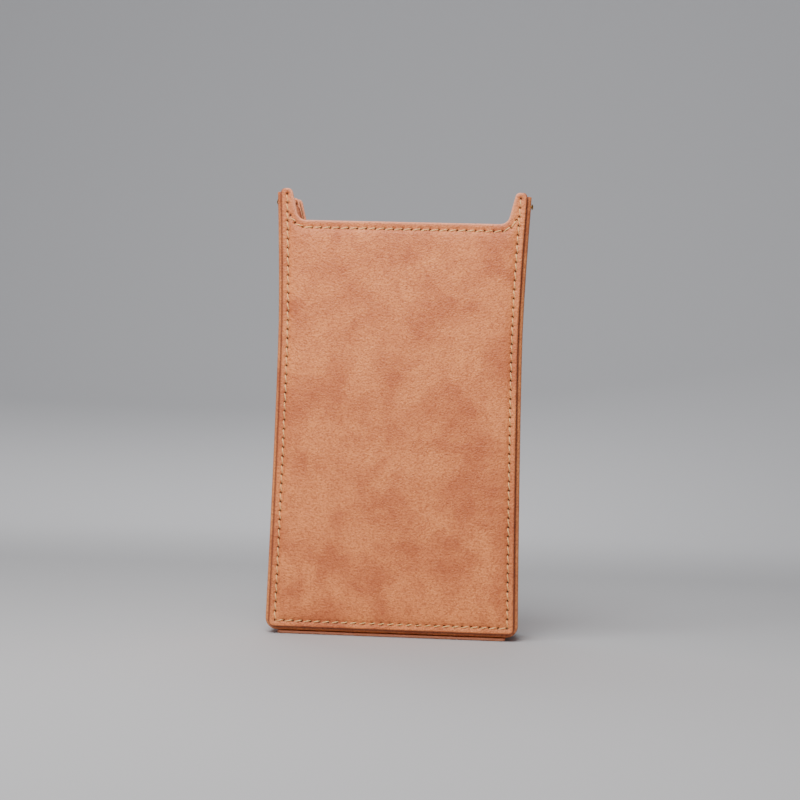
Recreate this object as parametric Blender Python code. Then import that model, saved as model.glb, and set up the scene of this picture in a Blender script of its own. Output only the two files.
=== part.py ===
"""Leather ever ready case for a flat folding camera.

A shallow leather tray (back panel, gusset and front frame) stands upright on its base strap. A stiffened
cover closes its open side, turns on the strap's bend along the bottom edge, and snaps shut on two press
studs. The plain stitched back panel faces -Y and the cover faces +Y. Both have a wide scoop in the top
edge, which leaves a narrow horn at each corner.

Metres, +Z up. The origin is at the centre of the base.
"""

import math

import bmesh
import bpy
from mathutils import Matrix, Vector

MM = 0.001

# Heights
STRAP_THICK = 1.2 * MM
GAP = 0.3 * MM  # between pieces that touch on the real case
SHELL_Z = STRAP_THICK + GAP  # underside of the gusset
HORN_Z = SHELL_Z + 189.8 * MM  # tips of the horns
SCOOP_Z = SHELL_Z + 176.2 * MM  # bottom of the scoop in the panels
WAIST_Z = SHELL_Z + 126.8 * MM

# Half widths of the gusset's outside, which pulls in a little at the waist
BASE_HALF = 54.3 * MM
WAIST_HALF = 52.6 * MM
HORN_HALF = 54.9 * MM

# Thicknesses
PANEL_THICK = 1.5 * MM
GUSSET_THICK = 1.3 * MM
FRAME_THICK = 1.3 * MM
BOARD_THICK = 1.0 * MM
LINING_THICK = 0.6 * MM
PAD_THICK = 2.0 * MM
THREAD_WIDTH = 0.7 * MM
THREAD_THICK = 0.4 * MM
CLOSING_GAP = 0.3 * MM  # between the frame's thread and the closed cover
CAVITY_DEPTH = 25.0 * MM  # from the back lining to the frame's lip: the folded camera's thickness

# Panel outline
PANEL_SIDE_INSET = 1.9 * MM  # from the gusset's outside to the panel's cut edge
PANEL_BOTTOM_INSET = 1.6 * MM
COVER_BOTTOM_INSET = 2.8 * MM  # clears the inside of the strap's bend
PANEL_CORNER = 1.7 * MM
HORN_WIDTH = 4.7 * MM  # at the tip
HORN_SLANT = math.radians(14)
HORN_FILLET = 4.0 * MM
HORN_OUTER_ROUND = 1.6 * MM
HORN_INNER_ROUND = 1.8 * MM
EDGE_BEVEL = 0.35 * MM
STITCH_INSET = 2.6 * MM
SCOOP_STITCH_INSET = 3.2 * MM

# Gusset
GUSSET_CORNER = 5.0 * MM
BEND_RADIUS = 2.0 * MM
FLANGE = 13.4 * MM
FLANGE_CORNER = 1.0 * MM
GUSSET_TOP_DROP = 1.4 * MM  # the gusset ends this far below the horn tips
FLANGE_HORN_INSET = 1.6 * MM  # from a horn's inner edge to the flange's free edge

# Front frame
FRAME_WINDOW_HALF = 38.5 * MM
FRAME_BOTTOM = 12.0 * MM
FRAME_CORNER = 6.0 * MM
FRAME_TOP_CORNER = 2.5 * MM
FRAME_FILLET = HORN_FILLET - 0.5 * MM
FRAME_HORN_INSET = 1.0 * MM  # the frame's horns are narrower than the cover's

# Boards, linings and pad inside
BOARD_CLEAR = 1.5 * MM  # from the gusset's bottom flange to the back stiffener
BOARD_CORNER = 2.0 * MM
BOARD_DROP = 2.0 * MM  # the stiffeners end this far below the scoop
COVER_BOARD_INSET = 1.0 * MM  # from the cover's cut edge at the sides
COVER_BOARD_LOW = 2.0 * MM  # and at the bottom
COVER_LINING_INSET = 0.8 * MM
BACK_LINING_LOW = 1.0 * MM  # from the gusset's inside at the bottom
BACK_LINING_DROP = 0.6 * MM
BACK_LINING_CORNER = 4.0 * MM
PAD_CLEAR = 3.0 * MM  # from the gusset's corner to the pad's end

# Base strap, hinge bend and tab
STRAP_HALF = 49.0 * MM
STRAP_BEND = 5.0 * MM  # outer radius
STRAP_TOE = 2.4 * MM  # from the back panel's face to the strap's near end
TAB_HEIGHT = 17.0 * MM  # above the bend
TAB_THREAD_LOW = 2.0 * MM  # from the end of the bend
COVER_THREAD_CLEAR = 1.0 * MM  # from the tab's top edge
BEND_GAP = 10.0  # degrees of the bend left open between the strap and the moving tab
BEND_STEPS = 8

# Press studs and rivets
STUD_DROP = 9.0 * MM  # stud centres below the scoop
STUD_INSET = 10.0 * MM  # stud centres from the gusset's outside
STUD_HOLE = 1.4 * MM  # radius of the hole that a stud's shank goes through
STUD_POCKET = 4.6 * MM  # radius of the pocket in the cover's lining and stiffener
STUD_SHANK = STUD_HOLE - 0.35 * MM
STUD_FLANGE = 3.6 * MM  # radius of the post's plate
STUD_KNOB = 1.6 * MM
STUD_KNOB_DROP = 0.6 * MM  # from the cover's stiffener to the top of the knob
EYELET_RADIUS = 3.2 * MM
SOCKET_BORE = 2.2 * MM
SOCKET_RADIUS = 3.9 * MM
CAP_RADIUS = 4.6 * MM
CAP_RIM = 0.4 * MM
CAP_DOME = 1.0 * MM
RIVET_DROP = 5.0 * MM
RIVET_DEPTH = 8.0 * MM  # rivet centres from the back panel's face
RIVET_HOLE = 1.0 * MM
RIVET_SHANK = 0.7 * MM
RIVET_FOOT = 1.1 * MM  # how far the shank reaches past the gusset
RIVET_HEAD = 1.3 * MM
RIVET_DOME = 0.7 * MM
WASHER_RADIUS = 2.0 * MM
WASHER_THICK = 0.5 * MM
SHANK_CLEAR = 0.35 * MM  # between a shank and the ring round it
TURNED_STEPS = 20

# Layers through the depth, from the outside of the back thread, then centred on the origin
LAYERS = {}
DEPTH = 0.0


def add_layer(name, thick, gap=GAP):
    """Stacks one layer behind the last one and keeps a gap behind it."""
    global DEPTH
    LAYERS[name] = (DEPTH, DEPTH + thick)
    DEPTH += thick + gap


add_layer("back_thread", THREAD_THICK)
add_layer("back_panel", PANEL_THICK)
add_layer("back_flange", GUSSET_THICK)
add_layer("back_lining", LINING_THICK, 0.0)
add_layer("cavity", CAVITY_DEPTH, 0.0)
add_layer("front_flange", GUSSET_THICK)
add_layer("front_frame", FRAME_THICK)
add_layer("frame_thread", THREAD_THICK, CLOSING_GAP)
add_layer("cover_lining", LINING_THICK)
add_layer("cover_board", BOARD_THICK)
add_layer("cover_panel", PANEL_THICK)
add_layer("tab", STRAP_THICK)
add_layer("tab_thread", THREAD_THICK, 0.0)
LAYERS = {name: (near - DEPTH / 2, far - DEPTH / 2) for name, (near, far) in LAYERS.items()}

STUD_Z = SCOOP_Z - STUD_DROP
RIVET_Z = HORN_Z - RIVET_DROP
TAB_Y = LAYERS["tab"][1]  # outer face of the tab, where the bend ends
BEND_CENTRE = Vector((0, TAB_Y - STRAP_BEND, STRAP_BEND))
BEND_MIDDLE = STRAP_BEND - STRAP_THICK / 2
HINGE = BEND_CENTRE + BEND_MIDDLE * Vector((0, math.sqrt(0.5), -math.sqrt(0.5)))


# ---------------------------------------------------------------- outlines


def half_width(z):
    """Half the gusset's outer width at height z: widest at the horns and the base, narrow at the waist."""
    if z < WAIST_Z:
        share = (WAIST_Z - z) / (WAIST_Z - SHELL_Z)
        return WAIST_HALF + (BASE_HALF - WAIST_HALF) * share**1.5
    share = (z - WAIST_Z) / (HORN_Z - WAIST_Z)
    return WAIST_HALF + (HORN_HALF - WAIST_HALF) * share**1.5


def side(inset, low, high, steps=12):
    """Points down the left side, set in from the gusset's outside."""
    heights = [high + (low - high) * i / steps for i in range(steps + 1)]
    return [(inset - half_width(z), z) for z in heights]


def rounded(corners, steps=5):
    """The outline through corners (x, z, radius), each rounded by an arc of its radius."""
    points = []
    for i, (x, z, radius) in enumerate(corners):
        here = Vector((x, z))
        if radius == 0:
            points.append(here)
            continue
        to_last = (Vector(corners[i - 1][:2]) - here).normalized()
        to_next = (Vector(corners[(i + 1) % len(corners)][:2]) - here).normalized()
        half = to_last.angle(to_next) / 2
        centre = here + (to_last + to_next).normalized() * radius / math.sin(half)
        start = here + to_last * radius / math.tan(half) - centre
        end = here + to_next * radius / math.tan(half) - centre
        turn = start.angle_signed(end)
        for step in range(steps + 1):
            points.append(centre + Matrix.Rotation(-turn * step / steps, 2) @ start)
    return points


def mirrored(left):
    """A left half, from its first point to its last, closed with the same points on the right."""
    return left + [Vector((-x, z)) for x, z in reversed(left)]


def horn_width(z):
    """The width of a panel's horn at height z, from its outer cut edge."""
    return HORN_WIDTH + (HORN_Z - z) * math.tan(HORN_SLANT)


def horn_inner(z):
    """The x of the left horn's inner edge at height z."""
    return PANEL_SIDE_INSET - half_width(HORN_Z) + horn_width(z)


def horn_corners(inset, top):
    """The left horn, from its outer corner at the tip to where it meets the scoop."""
    outer = PANEL_SIDE_INSET + inset - half_width(top)
    tip = horn_inner(top) - inset
    return outer, tip


def panel_outline(inset=0.0, bottom_inset=PANEL_BOTTOM_INSET):
    """The outline that the back panel and the cover share, set in all round by inset."""
    low = SHELL_Z + bottom_inset + inset
    top = HORN_Z - inset
    scoop = SCOOP_Z - inset
    outer, tip = horn_corners(inset, top)
    edge = side(PANEL_SIDE_INSET + inset, low, top - 3 * HORN_OUTER_ROUND)
    corners = [(horn_inner(scoop) - inset, scoop, HORN_FILLET + inset)]
    corners.append((tip, top, HORN_INNER_ROUND))
    corners.append((outer, top, HORN_OUTER_ROUND))
    corners += [(x, z, 0) for x, z in edge[:-1]]
    corners.append((*edge[-1], PANEL_CORNER))
    corners += [(-x, z, radius) for x, z, radius in reversed(corners)]
    return rounded(corners)


def straight_outline(side_inset, bottom_inset, top, radius):
    """A plain outline that follows the case's sides and stops at top."""
    edge = side(side_inset, SHELL_Z + bottom_inset, top)
    corners = [(*edge[0], radius)] + [(x, z, 0) for x, z in edge[1:-1]] + [(*edge[-1], radius)]
    corners += [(-x, z, r) for x, z, r in reversed(corners)]
    return rounded(corners)


def frame_outline():
    """The U shaped front frame: the panel's outline outside, and a window open at the top."""
    outer, tip = horn_corners(0.0, HORN_Z)
    low = SHELL_Z + PANEL_BOTTOM_INSET
    edge = side(PANEL_SIDE_INSET, low, HORN_Z - 3 * HORN_OUTER_ROUND)
    corners = [(-FRAME_WINDOW_HALF, low + FRAME_BOTTOM, FRAME_CORNER)]
    corners.append((-FRAME_WINDOW_HALF, SCOOP_Z, FRAME_TOP_CORNER))
    corners.append((horn_inner(SCOOP_Z) - FRAME_HORN_INSET, SCOOP_Z, FRAME_FILLET))
    corners.append((tip - FRAME_HORN_INSET, HORN_Z, HORN_INNER_ROUND))
    corners.append((outer, HORN_Z, HORN_OUTER_ROUND))
    corners += [(x, z, 0) for x, z in edge[:-1]]
    corners.append((*edge[-1], PANEL_CORNER))
    corners += [(-x, z, radius) for x, z, radius in reversed(corners)]
    return rounded(corners)


def border_line(low, high):
    """The stitch line down the left side, along the bottom and up the right side."""
    inset = PANEL_SIDE_INSET + STITCH_INSET
    return mirrored([Vector(p) for p in side(inset, low, high)])


def scoop_line():
    """The stitch line along the scoop, which curves up to meet the side lines in the horns."""
    z = SCOOP_Z - SCOOP_STITCH_INSET
    top = SCOOP_Z + 2 * MM
    x = PANEL_SIDE_INSET + STITCH_INSET - half_width(top)
    turn = 4.5 * MM
    left = [Vector((x, top)), Vector((x + turn / 3, z + turn / 2)), Vector((x + turn, z + turn / 6))]
    left.append(Vector((x + 2 * turn, z)))
    return mirrored(left)


def loop_line():
    """The stitch line all round a panel: the border, closed by the scoop."""
    border = border_line(SHELL_Z + PANEL_BOTTOM_INSET + STITCH_INSET, SCOOP_Z)
    return border + list(reversed(scoop_line()))


def cover_line():
    """The cover's stitch line: up from the tab on one side, along the scoop, and down the other."""
    low = STRAP_BEND + TAB_HEIGHT + COVER_THREAD_CLEAR
    left = list(reversed([Vector(p) for p in side(PANEL_SIDE_INSET + STITCH_INSET, low, SCOOP_Z)]))
    right = [Vector((-x, z)) for x, z in reversed(left)]
    return left + scoop_line() + right


# ---------------------------------------------------------------- meshes


def new_object(name, bm, material, smooth=False):
    """Closes a bmesh into a named object with its material."""
    bmesh.ops.remove_doubles(bm, verts=bm.verts, dist=1e-6)
    bmesh.ops.recalc_face_normals(bm, faces=bm.faces)
    mesh = bpy.data.meshes.new(name)
    bm.to_mesh(mesh)
    bm.free()
    mesh.materials.append(material)
    if smooth:
        mesh.shade_smooth()
        mesh.set_sharp_from_angle(angle=math.radians(40))
    obj = bpy.data.objects.new(name, mesh)
    bpy.context.scene.collection.objects.link(obj)
    return obj


def plate(name, outline, layer, material, bevel=0.0):
    """A flat piece cut to an outline in the XZ plane, filling one layer of the depth."""
    near, far = LAYERS[layer]
    bm = bmesh.new()
    face = bm.faces.new([bm.verts.new((x, near, z)) for x, z in outline])
    extruded = bmesh.ops.extrude_face_region(bm, geom=[face])
    moved = [v for v in extruded["geom"] if isinstance(v, bmesh.types.BMVert)]
    bmesh.ops.translate(bm, vec=(0, far - near, 0), verts=moved)
    obj = new_object(name, bm, material)
    if bevel:
        modifier = obj.modifiers.new("Edge", "BEVEL")
        modifier.width = bevel
        modifier.segments = 1
        modifier.limit_method = "ANGLE"
        modifier.angle_limit = math.radians(60)
    return obj


def swept(name, rings, material, closed_path=False, smooth=False):
    """Joins rings of points into a tube, with a cap at each end unless the path is closed."""
    bm = bmesh.new()
    loops = [[bm.verts.new(p) for p in ring] for ring in rings]
    count = len(loops[0])
    pairs = list(zip(loops, loops[1:]))
    if closed_path:
        pairs.append((loops[-1], loops[0]))
    for near, far in pairs:
        for i in range(count):
            j = (i + 1) % count
            bm.faces.new((near[i], near[j], far[j], far[i]))
    if not closed_path:
        bm.faces.new(loops[0])
        bm.faces.new(loops[-1])
    return new_object(name, bm, material, smooth)


def turned(name, profile, centre, axis, material):
    """A piece turned about an axis: profile holds (radius, distance along the axis)."""
    bm = bmesh.new()
    verts = [bm.verts.new((r, 0, h)) for r, h in profile]
    edges = [bm.edges.new(pair) for pair in zip(verts, verts[1:])]
    if profile[0][0] > 0:
        edges.append(bm.edges.new((verts[-1], verts[0])))
    bmesh.ops.spin(
        bm,
        geom=verts + edges,
        cent=(0, 0, 0),
        axis=(0, 0, 1),
        angle=math.tau,
        steps=TURNED_STEPS,
    )
    bmesh.ops.remove_doubles(bm, verts=bm.verts, dist=1e-6)
    to_axis = Vector((0, 0, 1)).rotation_difference(Vector(axis)).to_matrix().to_4x4()
    bmesh.ops.transform(bm, matrix=Matrix.Translation(centre) @ to_axis, verts=bm.verts)
    return new_object(name, bm, material, smooth=True)


def thread(name, line, near, material, closed=False):
    """Flat thread along a stitch line, with its near face at y = near."""
    far = near + THREAD_THICK
    rings = []
    for i, point in enumerate(line):
        before = line[i - 1] if i or closed else point
        after = line[(i + 1) % len(line)] if i + 1 < len(line) or closed else point
        along = (after - point).normalized() + (point - before).normalized()
        across = Vector((-along.y, along.x)).normalized() * THREAD_WIDTH / 2
        a, b = point + across, point - across
        rings.append([(a.x, near, a.y), (b.x, near, b.y), (b.x, far, b.y), (a.x, far, a.y)])
    return swept(name, rings, material, closed_path=closed)


def drill(obj, centre, axis, radius, length=12 * MM):
    """Cuts a round hole with a hidden cutter."""
    bm = bmesh.new()
    bmesh.ops.create_cone(
        bm, cap_ends=True, segments=12, radius1=radius, radius2=radius, depth=length
    )
    to_axis = Vector((0, 0, 1)).rotation_difference(Vector(axis)).to_matrix().to_4x4()
    bmesh.ops.transform(bm, matrix=Matrix.Translation(centre) @ to_axis, verts=bm.verts)
    cutter = new_object(f"{obj.name}_cutter", bm, obj.data.materials[0])
    cutter.hide_render = True
    cutter.display_type = "WIRE"
    modifier = obj.modifiers.new("Hole", "BOOLEAN")
    modifier.operation = "DIFFERENCE"
    modifier.object = cutter


def finish(name, colour, roughness, metallic=0.0):
    """A plain Principled material."""
    material = bpy.data.materials.new(name)
    material.use_nodes = True
    shader = material.node_tree.nodes["Principled BSDF"]
    shader.inputs["Base Color"].default_value = (*colour, 1.0)
    shader.inputs["Roughness"].default_value = roughness
    shader.inputs["Metallic"].default_value = metallic
    return material


# ---------------------------------------------------------------- case pieces


def make_back(panel_leather, board, suede, cotton):
    plate("back_panel", panel_outline(), "back_panel", panel_leather, EDGE_BEVEL)
    window = PANEL_SIDE_INSET + FLANGE
    outline = straight_outline(window, FLANGE + BOARD_CLEAR, SCOOP_Z - BOARD_DROP, BOARD_CORNER)
    plate("back_stiffener", outline, "back_flange", board)
    inner = GUSSET_THICK + GAP
    low = inner + BACK_LINING_LOW
    outline = straight_outline(inner, low, SCOOP_Z - BACK_LINING_DROP, BACK_LINING_CORNER)
    plate("back_lining", outline, "back_lining", suede)
    thread("back_panel_thread", loop_line(), LAYERS["back_thread"][0], cotton, closed=True)


def gusset_path():
    """Stations down the left side, round the corner and along half the bottom, then mirrored.

    Each station is (point on the outside, inward normal, point on the flange's free edge).
    """
    corner_z = SHELL_Z + GUSSET_CORNER
    flange_low = SHELL_Z + FLANGE + FLANGE_CORNER
    top = HORN_Z - GUSSET_TOP_DROP
    shoulder = SCOOP_Z - 1.5 * MM
    stations = []
    for z in (top, top - 4 * MM, top - 8 * MM, SCOOP_Z + 1 * MM):
        flange = PANEL_SIDE_INSET + horn_width(z) - FLANGE_HORN_INSET
        edge = Vector((flange - half_width(z), z))
        stations.append((Vector((-half_width(z), z)), Vector((1, 0)), edge))
    steps = 12
    for i in range(steps + 1):
        z = shoulder + (corner_z - shoulder) * i / steps
        z_flange = shoulder + (flange_low - shoulder) * i / steps
        edge = Vector((FLANGE - half_width(z_flange), z_flange))
        stations.append((Vector((-half_width(z), z)), Vector((1, 0)), edge))
    centre = Vector((GUSSET_CORNER - half_width(corner_z), corner_z))
    flange_centre = Vector((FLANGE + FLANGE_CORNER - half_width(flange_low), flange_low))
    arc_steps = 6
    for i in range(1, arc_steps + 1):
        angle = math.radians(90) * i / arc_steps
        inward = Vector((math.cos(angle), math.sin(angle)))
        point = centre - inward * GUSSET_CORNER
        stations.append((point, inward, flange_centre - inward * FLANGE_CORNER))
    right = [
        (Vector((-a.x, a.y)), Vector((-n.x, n.y)), Vector((-b.x, b.y)))
        for a, n, b in reversed(stations)
    ]
    return stations + right


def make_gusset(leather):
    """The channel section swept round both sides and the bottom, with its edges turned in."""
    back = LAYERS["back_flange"][0]
    front = LAYERS["front_flange"][1]
    rings = []
    for point, inward, edge in gusset_path():
        ring = [(edge.x, back, edge.y)]
        bend = [
            (BEND_RADIUS * (1 - math.sin(a)), BEND_RADIUS * (1 - math.cos(a)))
            for a in (math.radians(angle) for angle in (0, 30, 60, 90))
        ]
        section = [(offset, back + y) for offset, y in bend]
        section += [(offset, front - y) for offset, y in reversed(bend)]
        ring += [((point + inward * o).x, y, (point + inward * o).y) for o, y in section]
        inner = point + inward * GUSSET_THICK
        ring.append((edge.x, front, edge.y))
        ring.append((edge.x, front - GUSSET_THICK, edge.y))
        ring.append((inner.x, front - GUSSET_THICK, inner.y))
        ring.append((inner.x, back + GUSSET_THICK, inner.y))
        ring.append((edge.x, back + GUSSET_THICK, edge.y))
        rings.append(ring)
    gusset = swept("gusset", rings, leather)
    for sign in (-1, 1):
        stud = Vector((sign * (half_width(STUD_Z) - STUD_INSET), front, STUD_Z))
        drill(gusset, stud, (0, 1, 0), STUD_HOLE, 6 * MM)
        rivet = Vector((sign * half_width(RIVET_Z), LAYERS["back_panel"][0] + RIVET_DEPTH, RIVET_Z))
        drill(gusset, rivet, (1, 0, 0), RIVET_HOLE, 6 * MM)


def make_gusset_lining(suede):
    """A thin strip round the inside of the gusset, which stops below the horn rivets."""
    near = LAYERS["cavity"][0] + GAP
    far = LAYERS["cavity"][1] - GAP
    low = GUSSET_THICK + GAP
    high = low + LINING_THICK
    rings = []
    for point, inward, _ in gusset_path()[2:-2]:
        a = point + inward * low
        b = point + inward * high
        rings.append([(a.x, near, a.y), (b.x, near, b.y), (b.x, far, b.y), (a.x, far, a.y)])
    swept("gusset_lining", rings, suede)


def make_bottom_pad(felt):
    low = SHELL_Z + GUSSET_THICK + LINING_THICK + 2 * GAP
    half = BASE_HALF - GUSSET_CORNER - PAD_CLEAR
    near = LAYERS["cavity"][0] + 2 * GAP
    far = LAYERS["cavity"][1] - 2 * GAP
    ring = [(near, low), (far, low), (far, low + PAD_THICK), (near, low + PAD_THICK)]
    swept("bottom_pad", [[(x, y, z) for y, z in ring] for x in (-half, half)], felt)


def make_front_frame(leather, cotton):
    frame = plate("front_frame", frame_outline(), "front_frame", leather, EDGE_BEVEL)
    for sign in (-1, 1):
        x = sign * (half_width(STUD_Z) - STUD_INSET)
        drill(frame, Vector((x, LAYERS["front_frame"][0], STUD_Z)), (0, 1, 0), STUD_HOLE)
    low = SHELL_Z + PANEL_BOTTOM_INSET + STITCH_INSET
    line = border_line(low, HORN_Z - 2 * STITCH_INSET)
    thread("front_frame_thread", line, LAYERS["frame_thread"][0], cotton)


def make_rivets(brass):
    """A small domed rivet through the gusset near the tip of each horn, and its washer inside."""
    y = LAYERS["back_panel"][0] + RIVET_DEPTH
    bore = RIVET_SHANK + SHANK_CLEAR
    foot = -GUSSET_THICK - RIVET_FOOT
    for side_name, sign in (("left", -1), ("right", 1)):
        outside = Vector((sign * half_width(RIVET_Z), y, RIVET_Z))
        dome = [(RIVET_HEAD * math.cos(a), GAP + RIVET_DOME * math.sin(a)) for a in dome_angles()]
        stem = [(0, foot), (RIVET_SHANK, foot), (RIVET_SHANK, GAP)]
        turned(f"horn_rivet_{side_name}", stem + dome, outside, (sign, 0, 0), brass)
        inside = [(bore, 0), (WASHER_RADIUS, 0), (WASHER_RADIUS, WASHER_THICK), (bore, WASHER_THICK)]
        washer = outside - Vector((sign * (GUSSET_THICK + GAP), 0, 0))
        turned(f"horn_washer_{side_name}", inside, washer, (-sign, 0, 0), brass)


def dome_angles(steps=4):
    return [math.radians(90) * i / steps for i in range(steps + 1)]


def make_studs(brass):
    """The press studs: post and eyelet on the frame, socket and cap on the cover."""
    frame_near, frame_far = LAYERS["front_frame"]
    flange_near = LAYERS["front_flange"][0]
    board_far = LAYERS["cover_board"][1]
    panel_far = LAYERS["cover_panel"][1]
    knob_top = board_far - STUD_KNOB_DROP
    base_y = frame_far + GAP
    post = [
        (0, flange_near - 0.9 * MM),
        (STUD_SHANK, flange_near - 0.9 * MM),
        (STUD_SHANK, base_y),
        (STUD_FLANGE, base_y),
        (STUD_FLANGE, base_y + 0.35 * MM),
        (STUD_KNOB - 0.25 * MM, base_y + 0.5 * MM),
        (STUD_KNOB, knob_top - 0.5 * MM),
        (STUD_KNOB - 0.4 * MM, knob_top),
        (0, knob_top),
    ]
    eyelet_y = flange_near - GAP
    bore = STUD_SHANK + SHANK_CLEAR
    back_y = eyelet_y - 0.5 * MM
    eyelet = [(bore, eyelet_y), (EYELET_RADIUS, eyelet_y)]
    eyelet += [(EYELET_RADIUS - 0.3 * MM, back_y), (bore, back_y)]
    mouth_y = base_y + 0.7 * MM
    socket = [(SOCKET_BORE, mouth_y), (SOCKET_RADIUS - 0.7 * MM, mouth_y)]
    socket += [(SOCKET_RADIUS, board_far - 0.5 * MM), (SOCKET_RADIUS, board_far), (SOCKET_BORE, board_far)]
    cap_y = panel_far + GAP
    foot_y = board_far + GAP / 2
    rim_y = cap_y + CAP_RIM
    dome = CAP_RADIUS - 0.3 * MM
    cap = [(0, foot_y), (STUD_SHANK, foot_y), (STUD_SHANK, cap_y)]
    cap += [(CAP_RADIUS - 0.2 * MM, cap_y), (CAP_RADIUS, rim_y)]
    cap += [(dome * math.cos(a), rim_y + CAP_DOME * math.sin(a)) for a in dome_angles()[1:]]
    for side_name, sign in (("left", -1), ("right", 1)):
        centre = Vector((sign * (half_width(STUD_Z) - STUD_INSET), 0, STUD_Z))
        turned(f"stud_post_{side_name}", post, centre, (0, 1, 0), brass)
        turned(f"stud_eyelet_{side_name}", eyelet, centre, (0, 1, 0), brass)
        turned(f"stud_socket_{side_name}", socket, centre, (0, 1, 0), brass)
        turned(f"stud_cap_{side_name}", cap, centre, (0, 1, 0), brass)


# ---------------------------------------------------------------- cover pieces


def make_cover(leather, board, suede, cotton):
    panel = plate(
        "cover_panel", panel_outline(0.0, COVER_BOTTOM_INSET), "cover_panel", leather, EDGE_BEVEL
    )
    low = COVER_BOTTOM_INSET + COVER_BOARD_LOW
    inset = PANEL_SIDE_INSET + COVER_BOARD_INSET
    outline = straight_outline(inset, low, SCOOP_Z - BOARD_DROP, BOARD_CORNER)
    stiffener = plate("cover_stiffener", outline, "cover_board", board)
    lining = plate(
        "cover_lining", panel_outline(COVER_LINING_INSET, COVER_BOTTOM_INSET), "cover_lining", suede
    )
    for sign in (-1, 1):
        x = sign * (half_width(STUD_Z) - STUD_INSET)
        drill(panel, Vector((x, LAYERS["cover_panel"][0], STUD_Z)), (0, 1, 0), STUD_HOLE)
        drill(stiffener, Vector((x, LAYERS["cover_board"][0], STUD_Z)), (0, 1, 0), STUD_POCKET)
        drill(lining, Vector((x, LAYERS["cover_lining"][0], STUD_Z)), (0, 1, 0), STUD_POCKET)
    thread("cover_thread", cover_line(), LAYERS["tab"][0], cotton)


def bend_point(radius, degrees):
    """A point on the strap's bend: 0 degrees is under the case and 90 is on the cover's face."""
    a = math.radians(degrees)
    return BEND_CENTRE + radius * Vector((0, math.sin(a), -math.cos(a)))


def make_strap(leather):
    """The strap under the base, and the same strap's bend and tab, which move with the cover."""
    toe = LAYERS["back_panel"][0] + STRAP_TOE
    inner = STRAP_BEND - STRAP_THICK
    start = [bend_point(STRAP_BEND, 0), bend_point(inner, 0)]
    ring = [(toe, 0.0), (start[0].y, start[0].z), (start[1].y, start[1].z), (toe, STRAP_THICK)]
    swept("base_strap", [[(x, y, z) for y, z in ring] for x in (-STRAP_HALF, STRAP_HALF)], leather)
    angles = [BEND_GAP + (90 - BEND_GAP) * i / BEND_STEPS for i in range(BEND_STEPS + 1)]
    outer = [bend_point(STRAP_BEND, a) for a in angles]
    inner_points = [bend_point(inner, a) for a in angles]
    top = STRAP_BEND + TAB_HEIGHT
    outer.append(Vector((0, TAB_Y, top)))
    inner_points.append(Vector((0, TAB_Y - STRAP_THICK, top)))
    section = outer + list(reversed(inner_points))
    rings = [[(x, p.y, p.z) for p in section] for x in (-STRAP_HALF, STRAP_HALF)]
    swept("hinge_bend", rings, leather)


def tab_line():
    """The stitch line up one end of the tab, across its top and down the other end."""
    half = STRAP_HALF - STITCH_INSET
    high = STRAP_BEND + TAB_HEIGHT - STITCH_INSET
    low = STRAP_BEND + TAB_THREAD_LOW
    return mirrored([Vector((-half, low)), Vector((-half, high))])


# ---------------------------------------------------------------- the case


def hang_on_hinge():
    """Parents the cover's pieces to an empty on the hinge axis."""
    hinge = bpy.data.objects.new("cover_hinge", None)
    hinge.location = HINGE
    bpy.context.scene.collection.objects.link(hinge)
    names = ("cover_", "stud_cap", "stud_socket", "hinge_bend", "hinge_thread")
    for obj in list(bpy.context.scene.objects):
        if obj.type == "MESH" and obj.name.startswith(names):
            obj.parent = hinge
            obj.matrix_parent_inverse = Matrix.Translation(-HINGE)


def main():
    for obj in list(bpy.data.objects):
        bpy.data.objects.remove(obj)
    tan = finish("tan leather", (0.50, 0.26, 0.14), 0.5)
    tan_light = finish("tan gusset leather", (0.46, 0.23, 0.12), 0.5)
    suede = finish("suede", (0.36, 0.22, 0.13), 0.9)
    board = finish("fibre board", (0.30, 0.22, 0.15), 0.8)
    felt = finish("felt", (0.16, 0.11, 0.08), 0.95)
    cotton = finish("waxed thread", (0.80, 0.52, 0.28), 0.6)
    brass = finish("aged brass", (0.45, 0.28, 0.12), 0.4, 1.0)
    make_back(tan, board, suede, cotton)
    make_gusset(tan_light)
    make_gusset_lining(suede)
    make_bottom_pad(felt)
    make_front_frame(tan, cotton)
    make_rivets(brass)
    make_cover(tan, board, suede, cotton)
    make_strap(tan)
    make_studs(brass)
    thread("hinge_thread", tab_line(), LAYERS["tab_thread"][0], cotton)
    hang_on_hinge()


main()
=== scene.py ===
"""Leather ever ready case: the finished leather, thread, suede and brass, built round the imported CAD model.

The flat leather pieces are cut to the outlines of their CAD nodes and given their crown, their stitch
groove and their rolled edge. Geometry Nodes lay the stitches. Metres, +Z up, the back panel faces -Y.
"""

import math

import bmesh
import bpy
import numpy as np
from mathutils import Matrix, Vector, geometry, kdtree, noise


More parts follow.
